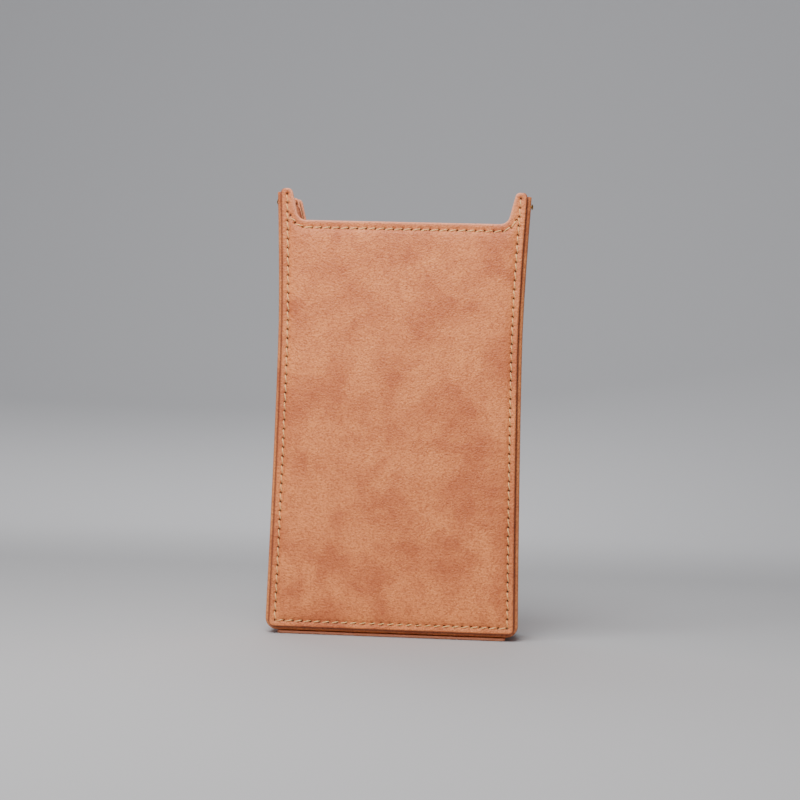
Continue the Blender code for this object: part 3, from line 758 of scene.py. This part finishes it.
STITCH_TREE = stitch_tree()
# The rim colour: a painted highlight on rounded cut edges.
RIM_HIGHLIGHT = tone(0.98, 0.66, 0.52)
TAN = leather(
    "tan_leather",
    tone(0.96, 0.585, 0.345),
    tone(0.895, 0.525, 0.315),
    tone(0.805, 0.445, 0.27),
    tone(0.66, 0.32, 0.18),
    RIM_HIGHLIGHT,
    (0, 0, 0),
)
COVER_TAN = leather(
    "cover_leather",
    tone(0.95, 0.565, 0.31),
    tone(0.89, 0.51, 0.285),
    tone(0.81, 0.435, 0.245),
    tone(0.65, 0.31, 0.175),
    RIM_HIGHLIGHT,
    (0.5, 0.2, 0.7),
)
GUSSET_TAN = leather(
    "gusset_leather",
    tone(0.96, 0.60, 0.36),
    tone(0.90, 0.54, 0.33),
    tone(0.82, 0.46, 0.28),
    tone(0.64, 0.31, 0.18),
    RIM_HIGHLIGHT,
    (0.2, 0.9, 0.1),
    1.15,
)
STRAP_TAN = leather(
    "strap_leather",
    tone(0.96, 0.59, 0.35),
    tone(0.90, 0.53, 0.31),
    tone(0.82, 0.45, 0.265),
    tone(0.62, 0.30, 0.17),
    RIM_HIGHLIGHT,
    (0.8, 0.1, 0.4),
    1.1,
)
SUEDE = suede("suede_lining", tone(0.66, 0.46, 0.31), tone(0.52, 0.34, 0.22), (0, 0, 0))
FELT = felt("felt_pad", tone(0.44, 0.35, 0.29), tone(0.30, 0.23, 0.19))
BOARD = board("fibre_board", tone(0.55, 0.46, 0.36), tone(0.42, 0.34, 0.26))
THREAD = thread("waxed_thread", tone(1.0, 0.84, 0.58), tone(0.90, 0.66, 0.41))
BRASS = brass("aged_brass", tone(0.80, 0.62, 0.36), tone(0.42, 0.27, 0.15))


# ---------------------------------------------------------------- pieces


def middle_y(node):
    """The middle of a CAD node's thickness."""
    low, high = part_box(node)
    return (low.y + high.y) / 2


def make_back_panel():
    loop = section("back_panel", middle_y("back_panel"))[0]
    border = border_path(smooth_loop(loop))
    hide = Hide(loop, runs(border) + [scoop_path(smooth_loop(loop), border)])
    relief, attributes = stitched_relief(hide, seed=1.5)
    place, thick = on_plane("back_panel", BACK)
    finish = (attributes, TAN, "case", "tan_leather", ["back_panel"])
    flat_piece("back_leather", hide, place, thick, relief, *finish)
    stitch_row("back_stitches", hide, relief, place, BACK, "case", ["back_panel_thread"])


def make_cover_panel():
    loops = section("cover_panel", middle_y("cover_panel"))
    border = border_path(smooth_loop(loops[0]))
    scoop = scoop_path(smooth_loop(loops[0]), border)
    _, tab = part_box("hinge_bend")
    beside_tab = (np.abs(border[:, 0]) > tab.x + 1 * MM) | (border[:, 1] > tab.z)
    left = border[beside_tab & (border[:, 0] < 0)]
    right = border[beside_tab & (border[:, 0] > 0)]
    hide = Hide(loops[0], [left, right, scoop], holes=loops[1:])
    relief, attributes = stitched_relief(hide, seed=4.5)
    under = (np.abs(hide.points[:, 0]) < tab.x + 2 * MM) & (hide.points[:, 1] < tab.z + 2 * MM)
    share = ramp(hide.points[:, 1], tab.z - 1 * MM, tab.z + 9 * MM)
    relief = np.where(relief > 0, relief * share, relief)
    relief[under] = np.minimum(relief[under], 0.0)
    place, thick = on_plane("cover_panel", FRONT)
    finish = (attributes, COVER_TAN, "cover", "tan_leather", ["cover_panel"])
    flat_piece("cover_leather", hide, place, thick, relief, *finish, flip=True)
    stitch_row("cover_stitches", hide, relief, place, FRONT, "cover", ["cover_thread"])


def make_front_frame():
    loops = section("front_frame", middle_y("front_frame"))
    hide = Hide(loops[0], runs(border_path(smooth_loop(loops[0]))), holes=loops[1:])
    relief, attributes = stitched_relief(hide, crown=0.15 * MM, seed=2.5)
    place, thick = on_plane("front_frame", FRONT)
    finish = (attributes, GUSSET_TAN, "case", "tan_leather", ["front_frame"])
    flat_piece("frame_leather", hide, place, thick, relief, *finish, flip=True)
    stitch_row("frame_stitches", hide, relief, place, FRONT, "case", ["front_frame_thread"])


def make_linings():
    """The suede behind the back panel, and the suede inside the cover with its two stud pockets."""
    for node, facing, body, seed in (("back_lining", FRONT, "case", 3), ("cover_lining", BACK, "cover", 6)):
        loops = section(node, middle_y(node))
        hide = Hide(loops[0], [], LINING_STEP, holes=loops[1:])
        relief, attributes = stitched_relief(hide, crown=0.0, seed=seed)
        place, thick = on_plane(node, facing)
        finish = (attributes, SUEDE, body, "suede_lining", [node])
        name = f"{node}_suede"
        suede_sheet = flat_piece(name, hide, place, thick, relief, *finish, flip=facing == FRONT)


class Gusset:
    """Stations round the gusset: the point on its outside, the inward normal, the flange's free edge."""

    def __init__(self):
        self.low, self.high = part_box("gusset")
        outer, _ = split_at_tips(section("gusset", 0.0)[0])
        _, free = split_at_tips(section("gusset", self.low.y + GUSSET_THICK / 2)[0])
        _, scoop = split_at_tips(section("back_panel", middle_y("back_panel"))[0])
        self.outer_z, self.outer_half = self.left_side(outer, self.low.z + GUSSET_CORNER)
        free_low = free[:, 1].min() + FLANGE_CORNER
        self.free_z, self.free_half = self.left_side(free, free_low)
        shoulder = scoop[len(scoop) // 2, 1] - 1.5 * MM
        corner_z = self.outer_z[0]
        count = round((self.high.z - corner_z) / GUSSET_STEP)
        self.stations = []
        for z in np.linspace(self.high.z, corner_z, count + 1):
            share = max(0.0, (shoulder - z) / (shoulder - corner_z))
            free_at = z if share == 0 else shoulder + (free_low - shoulder) * share
            self.add((-self.half(z), z), (1, 0), (-self.free(free_at), free_at))
        centre = np.array((GUSSET_CORNER - self.half(corner_z), corner_z))
        free_centre = np.array((FLANGE_CORNER - self.free(free_low), free_low))
        for angle in np.radians(np.linspace(10, 90, 9)):
            normal = np.array((math.cos(angle), math.sin(angle)))
            self.add(centre - normal * GUSSET_CORNER, normal, free_centre - normal * FLANGE_CORNER)
        half = self.stations[:]
        span = round(abs(centre[0]) / (2 * GUSSET_STEP))
        for x in np.linspace(1, 0, span, endpoint=False)[1:]:
            self.add((centre[0] * x, self.low.z), (0, 1), (free_centre[0] * x, free_low - FLANGE_CORNER))
        bottom = self.stations[len(half) :]
        self.add((0, self.low.z), (0, 1), (0, free_low - FLANGE_CORNER))
        for point, normal, edge in reversed(half + bottom):
            self.add(point * (-1, 1), normal * (-1, 1), edge * (-1, 1))

    def left_side(self, path, low):
        """Heights and half widths up the left side."""
        side = path[(path[:, 0] < 0) & (path[:, 1] >= low)]
        order = np.lexsort((side[:, 0], side[:, 1]))
        return side[order, 1], -side[order, 0]

    def half(self, z):
        return float(np.interp(z, self.outer_z, self.outer_half))

    def free(self, z):
        return float(np.interp(z, self.free_z, self.free_half))

    def add(self, point, normal, edge):
        self.stations.append((np.array(point, float), np.array(normal, float), np.array(edge, float)))


def quarter(radius, count):
    """A quarter turn's offsets: from (radius, 0) to (0, radius)."""
    return [
        (radius * (1 - math.sin(a)), radius * (1 - math.cos(a)))
        for a in np.linspace(0, math.pi / 2, count)
    ]


def gusset_profile(back, front):
    """The channel's section as (offset from the outside, y), without the flanges' free edges."""
    outside = [(FLANGE_ROOT, back)] + [(o, back + y) for o, y in quarter(GUSSET_BEND, 10)]
    for share in (0.25, 0.5, 0.75):
        outside.append((0.0, back + (front - back) * share))
    outside += [(o, front - y) for o, y in reversed(quarter(GUSSET_BEND, 10))] + [(FLANGE_ROOT, front)]
    bend = [(GUSSET_THICK + o, GUSSET_THICK + y) for o, y in quarter(GUSSET_BEND - GUSSET_THICK, 4)]
    inside = [(FLANGE_ROOT, front - GUSSET_THICK)] + [(o, front - y) for o, y in bend]
    inside += [(o, back + y) for o, y in reversed(bend)] + [(FLANGE_ROOT, back + GUSSET_THICK)]
    return outside, inside


def make_gusset(gusset):
    back, front = gusset.low.y, gusset.high.y
    outside, inside_bend = gusset_profile(back, front)
    depth = front - back
    rings = []
    run = 0.0
    last = gusset.stations[0][0]
    for point, normal, edge in gusset.stations:
        run += float(np.linalg.norm(point - last))
        last = point

        def at(offset, y):
            middle = 1 - abs(2 * (y - back) / depth - 1)
            wave = GUSSET_WAVE * noise.noise(Vector((run / (16 * MM), y / (12 * MM), 2.5)))
            pull = (GUSSET_PULL + wave) * middle if offset < FLANGE_ROOT else 0.0
            x, z = point + normal * (offset + pull)
            return (x, y, z)

        def lip(y):
            """The flange's free edge, rounded over."""
            inner = edge - (edge - point) * LIP_ROUND / np.linalg.norm(edge - point)
            return [
                (inner[0], y, inner[1]),
                (edge[0], y + LIP_ROUND, edge[1]),
                (edge[0], y + GUSSET_THICK - LIP_ROUND, edge[1]),
                (inner[0], y + GUSSET_THICK, inner[1]),
            ]

        ring = list(reversed(lip(back)))[2:]
        ring += [at(o, y) for o, y in outside]
        ring += list(reversed(lip(front - GUSSET_THICK)))
        ring += [at(o, y) for o, y in inside_bend]
        ring += list(reversed(lip(back)))[:2]
        rings.append(ring)
    # Painted shade in the crease between the gusset's bend and the panels' edges. It reaches nearer the panel
    # at the bottom. The flange lips take the burnished edge colour.
    burnish_and_crease_shade = []
    for _, normal, _ in gusset.stations:
        low = (1.0 - 0.75 * normal[1]) * MM
        dark = [float(ramp(np.float64(offset), low, 1.5 * MM)) for offset, _ in outside]
        burnish_and_crease_shade.append(np.array([1.0, 1.0] + dark + [1.0] * 4 + [0.0] * len(inside_bend) + [1.0, 1.0]))
    finish = (GUSSET_TAN, "case", "gusset_leather", ["gusset"])
    swept_piece("gusset_channel", rings, *finish, burnish_and_crease_shade=burnish_and_crease_shade)


def swept_piece(name, rings, material, body, slot, nodes, burnish_and_crease_shade=None):
    """Joins rings into a closed tube with rounded ends. The optional shares darken each ring's points:
    burnished cut edges, and painted shade in the creases.
    """
    ends = []
    for ring in (rings[0], rings[-1]):
        flat = np.array([(x, y) for x, y, _ in ring])
        normal = inward(flat) * (1 if area(flat) > 0 else -1)
        shrunk = flat + normal * END_ROUND
        ends.append([(x, y, z) for (x, y), (_, _, z) in zip(shrunk, ring)])
    lowered = [[(x, y, z - END_ROUND) for x, y, z in ring] for ring in (rings[0], rings[-1])]
    rings = [ends[0], lowered[0]] + rings[1:-1] + [lowered[1], ends[1]]
    bm = bmesh.new()
    loops = [[bm.verts.new(p) for p in ring] for ring in rings]
    count = len(loops[0])
    for near, far in zip(loops, loops[1:]):
        for i in range(count):
            j = (i + 1) % count
            bm.faces.new((near[i], near[j], far[j], far[i]))
    for loop in (loops[0], loops[-1]):
        flat = [Vector((v.co.x, v.co.y)) / MM for v in loop]
        rim = [(i, (i + 1) % count) for i in range(count)]
        found = geometry.delaunay_2d_cdt(flat, rim, [], 1, 1e-6)
        for triangle in found[2]:
            bm.faces.new([loop[found[3][i][0]] for i in triangle])
    mesh = mesh_of(bm, name)
    for key in ("edge", "hole", "burnish_and_shade"):
        layer = mesh.attributes.new(key, "FLOAT", "POINT")
        if key == "burnish_and_shade" and burnish_and_crease_shade is not None:
            shares = [burnish_and_crease_shade[0]] + burnish_and_crease_shade + [burnish_and_crease_shade[-1]]
            layer.data.foreach_set("value", np.concatenate(shares).astype(np.float32))
    return placed(name, mesh, material, body, nodes)


def make_gusset_lining(gusset):
    low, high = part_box("gusset_lining")
    across = np.linspace(low.y, high.y, 9)
    rings = []
    length = 0.0
    last = None
    for point, normal, _ in gusset.stations:
        if point[1] > high.z:
            continue
        if last is not None:
            length += float(np.linalg.norm(point - last))
        last = point
        ring = []
        for offset, ys in ((LINING_LOW, across), (LINING_HIGH, across[::-1])):
            for y in ys:
                wave = GUSSET_WAVE * noise.noise(Vector((length / (11 * MM), y / (9 * MM), 8.5)))
                x, z = point + normal * (offset + GUSSET_WAVE + wave)
                ring.append((x, y, z))
        rings.append(ring)
    strip = swept_piece("gusset_suede", rings, SUEDE, "case", "suede_lining", ["gusset_lining"])


def make_bottom_pad():
    """A soft felt pad, crowned in the middle and rounded at its edges."""
    low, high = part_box("bottom_pad")
    corners = [(low.x, low.y), (high.x, low.y), (high.x, high.y), (low.x, high.y)]
    loop = softened(spaced(np.array(corners), 0.5 * MM, closed=True), 12)
    hide = Hide(loop, [], 1.2 * MM)
    from_edge = hide.edge.distance(hide.points)
    relief = 0.25 * MM * ramp(from_edge, 0, 7 * MM) - rolled_edge(from_edge, 0.8 * MM)
    relief += 0.12 * MM * drift(hide.points, 9.5, 6 * MM) * ramp(from_edge, 0, 3 * MM)

    def place(points, height):
        return np.stack([points[:, 0], points[:, 1], high.z + height], axis=1)

    plain = {key: np.zeros(len(relief)) for key in ("edge", "burnish_and_shade", "hole")}
    finish = (plain, FELT, "case", "felt_pad", ["bottom_pad"])
    pad = flat_piece("felt_pad", hide, place, high.z - low.z, relief, *finish)


def make_strap():
    """One strip of leather: under the base, round the bend and up the cover as the stitched tab."""
    base_low, base_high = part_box("base_strap")
    _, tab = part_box("hinge_bend")
    radius = tab.y - base_high.y
    under = base_high.y - base_low.y
    bend = radius * math.pi / 2
    length = under + bend + tab.z - radius
    half = tab.x
    corners = [(-half, 0.0), (half, 0.0), (half, length), (-half, length)]
    loop = softened(spaced(np.array(corners), 0.3 * MM, closed=True), 40)
    low = under + bend + 2 * MM
    inset = half - STITCH_INSET
    top = length - STITCH_INSET
    line = [(-inset, low), (-inset, top), (inset, top), (inset, low)]
    hide = Hide(loop, [spaced(np.array(line), PATH_STEP)])
    relief, attributes = stitched_relief(hide, crown=0.12 * MM, seed=5.5)
    on_tab = ramp(hide.points[:, 1], under, under + bend)
    relief = np.where(relief > 0, relief * on_tab, relief)

    def place(points, height):
        x, run = points[:, 0], points[:, 1]
        angle = np.clip((run - under) / radius, 0, math.pi / 2)
        y = base_low.y + np.minimum(run, under) + (radius + height) * np.sin(angle)
        z = radius - (radius + height) * np.cos(angle) + np.maximum(run - under - bend, 0)
        return np.stack([x, y, z], axis=1)

    thick = base_high.z - base_low.z
    finish = (attributes, STRAP_TAN, None, "tan_leather", ["base_strap", "hinge_bend"])
    strap = flat_piece("strap", hide, place, thick, relief, *finish, flip=True)
    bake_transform(strap)
    stitch_row("strap_stitches", hide, relief, place, FRONT, "cover", ["hinge_thread"])


def turned_piece(name, profile, centre, axis, body, node):
    """A brass piece turned about an axis through centre; profile holds (radius, distance along it)."""
    bm = turned([(r * MM, h * MM) for r, h in profile], TURNED_STEPS, MERGE)
    to_axis = Vector((0, 0, 1)).rotation_difference(Vector(axis)).to_matrix().to_4x4()
    bmesh.ops.transform(bm, matrix=Matrix.Translation(centre) @ to_axis, verts=bm.verts)
    placed(name, mesh_of(bm, name), BRASS, body, [node])


def dome(radius, low, rise, steps=8):
    """Points from a dome's rim to its crown."""
    angles = [math.pi / 2 * i / steps for i in range(steps + 1)]
    return [(radius * math.cos(a), low + rise * math.sin(a)) for a in angles]


def make_brass():
    """Domed caps and sprung posts of the press studs, and the rivets in the horns."""
    for side, sign in (("left", -1), ("right", 1)):
        low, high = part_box(f"stud_cap_{side}")
        centre = Vector(((low.x + high.x) / 2, high.y, (low.z + high.z) / 2))
        stem = (low.y - high.y) / MM
        cap = [(0, stem), (1.05, stem), (1.05, -1.4), (4.3, -1.4), (4.55, -1.3), (4.6, -1.1)]
        cap += [(4.5, -0.92), (4.25, -0.85), (4.05, -0.92), (3.95, -0.86)]
        cap += dome(3.8, -0.8, 0.8)[1:]
        turned_piece(f"cap_{side}", cap, centre, (0, 1, 0), "cover", f"stud_cap_{side}")
        low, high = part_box(f"stud_post_{side}")
        centre = Vector(((low.x + high.x) / 2, low.y, (low.z + high.z) / 2))
        tall = (high.y - low.y) / MM
        collar = [(1.05, 0), (3.5, 0), (3.6, 0.1), (3.5, 0.28), (2.9, 0.36), (2.0, 0.4)]
        collar += [(1.45, 0.55), (1.35, 0.75)]
        post = [(0, 0), (0.9, 0), (1.05, 0.15)] + [(r, POST_FOOT + h) for r, h in collar]
        post += [(1.6, tall - 0.55)] + dome(1.5, tall - 0.45, 0.45, 6)
        turned_piece(f"post_{side}", post, centre, (0, 1, 0), "case", f"stud_post_{side}")
        low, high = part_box(f"horn_rivet_{side}")
        head = high.x if sign > 0 else low.x
        centre = Vector((head, (low.y + high.y) / 2, (low.z + high.z) / 2))
        deep = -(high.x - low.x) / MM
        rivet = [(0, deep), (0.7, deep), (0.7, -0.7), (1.2, -0.7), (1.3, -0.6)]
        rivet += dome(1.22, -0.52, 0.52)
        turned_piece(f"rivet_{side}", rivet, centre, (sign, 0, 0), "case", f"horn_rivet_{side}")
    for name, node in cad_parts.items():
        if name.startswith(("horn_washer", "stud_eyelet", "stud_socket")):
            node.data.materials[0] = BRASS
        elif name.endswith("stiffener"):
            node.data.materials[0] = BOARD


def make_floor_and_light():
    """A pale turned sweep and plain soft lights."""
    sweep = [math.radians(90) * i / SWEEP_STEPS for i in range(1, SWEEP_STEPS + 1)]
    profile = [(0.0, 0.0), (FLOOR_RADIUS, 0.0)]
    profile += [
        (FLOOR_RADIUS + SWEEP_CURVE * math.sin(a), SWEEP_CURVE - SWEEP_CURVE * math.cos(a))
        for a in sweep
    ]
    profile.append((FLOOR_RADIUS + SWEEP_CURVE, 1.5 * SWEEP_CURVE))
    mesh = mesh_of(turned(profile, FLOOR_STEPS, 0.01 * MM), "floor")
    mesh.flip_normals()
    mesh.shade_smooth()
    floor = bpy.data.objects.new("floor", mesh)
    bpy.context.scene.collection.objects.link(floor)
    mesh.materials.append(Finish("floor_paper").done(Base_Color=FLOOR_COLOUR, Roughness=0.9))
    for name, place, target, size, watts, colour in SOFTBOXES:
        data = bpy.data.lights.new(name, "AREA")
        data.shape = "SQUARE"
        data.size = size
        data.energy = watts
        data.color = colour
        light = bpy.data.objects.new(name, data)
        light.location = place
        light.rotation_euler = (Vector(target) - Vector(place)).to_track_quat("-Z", "Y").to_euler()
        bpy.context.scene.collection.objects.link(light)
    world = bpy.data.worlds.new("world")
    world.use_nodes = True
    sky = world.node_tree.nodes["Background"].inputs
    sky["Color"].default_value = WORLD_COLOUR
    sky["Strength"].default_value = WORLD_STRENGTH
    bpy.context.scene.world = world


def make_camera():
    """Below the case's middle, a little to its right and looking slightly up, and rolled slightly."""
    data = bpy.data.cameras.new("camera")
    data.lens = LENS
    data.sensor_width = SENSOR_WIDTH
    data.clip_start = 0.01
    camera = bpy.data.objects.new("camera", data)
    level = math.cos(CAMERA_PITCH)
    sight = Vector((-math.sin(CAMERA_YAW) * level, math.cos(CAMERA_YAW) * level, math.sin(CAMERA_PITCH)))
    camera.location = CAMERA_PLACE
    camera.rotation_mode = "QUATERNION"
    rolled = Matrix.Rotation(CAMERA_ROLL, 3, "Z").to_quaternion()
    camera.rotation_quaternion = sight.to_track_quat("-Z", "Y") @ rolled
    bpy.context.scene.collection.objects.link(camera)
    bpy.context.scene.camera = camera


make_camera()
make_floor_and_light()
make_back_panel()
make_cover_panel()
make_front_frame()
channel = Gusset()
make_gusset(channel)
make_gusset_lining(channel)
make_linings()
make_bottom_pad()
make_strap()
make_brass()
